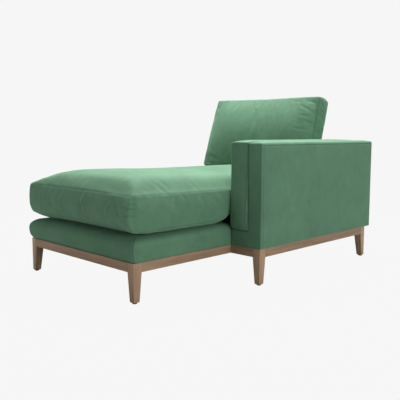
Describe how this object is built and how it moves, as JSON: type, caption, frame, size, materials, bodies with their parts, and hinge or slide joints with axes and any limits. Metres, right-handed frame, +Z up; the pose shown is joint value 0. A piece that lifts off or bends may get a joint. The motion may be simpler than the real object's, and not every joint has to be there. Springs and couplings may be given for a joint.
{
  "type": "chaise armchair",
  "caption": "Upholstered one-arm chaise module: long crowned seat cushion, leaning back cushion, panelled arm and a wooden plinth on tapered legs.",
  "frame": {"origin": "middle of the footprint, on the floor", "axes": "+Z up, +Y from the foot end to the back, +X to the side with the arm"},
  "size_m": [0.971, 1.507, 0.8624],
  "materials": {
    "velvet": "cotton velvet with a short pile",
    "stained_ash": "brown stained ash, matt lacquer",
    "frame_timber": "planed softwood",
    "plywood": "thin birch plywood",
    "foam": "cut polyurethane foam",
    "fibre": "polyester fibre",
    "felt": "needled felt",
    "dust_cloth": "black spunbond cloth",
    "webbing": "elastic woven strap",
    "spring_steel": "drawn spring wire",
    "clip_plastic": "moulded clip",
    "zinc_steel": "zinc plated",
    "glide_nylon": "dark nylon",
    "zip_tape": "woven zip tape with a nylon coil"
  },
  "bodies": {
    "frame": {"arm_base_boards": "frame_timber", "arm_bottom_rail": "frame_timber", "arm_cover": "velvet", "arm_inner_panel": "plywood", "arm_outer_panel": "plywood", "arm_pad_board": "plywood", "arm_pad_cover": "velvet", "arm_pad_foam": "foam", "arm_pad_screws": "zinc_steel", "arm_posts": "frame_timber", "arm_side_rail": "stained_ash", "arm_top_rail": "frame_timber", "arm_wadding": "fibre", "back_bottom_rail": "frame_timber", "back_cover": "velvet", "back_foot_board": "frame_timber", "back_padding": "foam", "back_panel": "plywood", "back_posts": "frame_timber", "back_rail": "stained_ash", "back_top_rail": "frame_timber", "back_webbing": "webbing", "base_cross_bars": "frame_timber", "base_front_board": "frame_timber", "base_left_board": "frame_timber", "base_rear_board": "frame_timber", "base_right_board": "frame_timber", "chaise_side_rail": "stained_ash", "corner_blocks": "frame_timber", "deck_felt": "felt", "dust_cover": "dust_cloth", "foot_glides": "glide_nylon", "frame_bolts": "zinc_steel", "frame_nuts": "zinc_steel", "front_rail": "stained_ash", "left_rail": "stained_ash", "leg_arm_front": "stained_ash", "leg_back_left": "stained_ash", "leg_back_right": "stained_ash", "leg_bolts": "zinc_steel", "leg_front_left": "stained_ash", "leg_front_right": "stained_ash", "leg_washers": "zinc_steel", "middle_rail": "stained_ash", "plinth_screws": "zinc_steel", "rail_dowels": "frame_timber", "seat_block_cover": "velvet", "seat_block_padding": "foam", "seat_springs": "spring_steel", "spring_clips": "clip_plastic"},
    "seat_cushion": {"seat_cushion_cover": "velvet", "seat_cushion_foam": "foam", "seat_cushion_wrap": "fibre", "seat_cushion_zip": "zip_tape"},
    "back_cushion": {"back_cushion_cover": "velvet", "back_cushion_fill": "fibre", "back_cushion_zip": "zip_tape"}
  },
  "joints": [
    {"name": "seat_cushion_lift", "type": "slide", "parent": "frame", "child": "seat_cushion", "axis": [0, 0, 1], "range_m": [0, 0.38]},
    {"name": "back_cushion_lift", "type": "slide", "parent": "seat_cushion", "child": "back_cushion", "axis": [0, 0, 1], "range_m": [0, 0.3]}
  ]
}
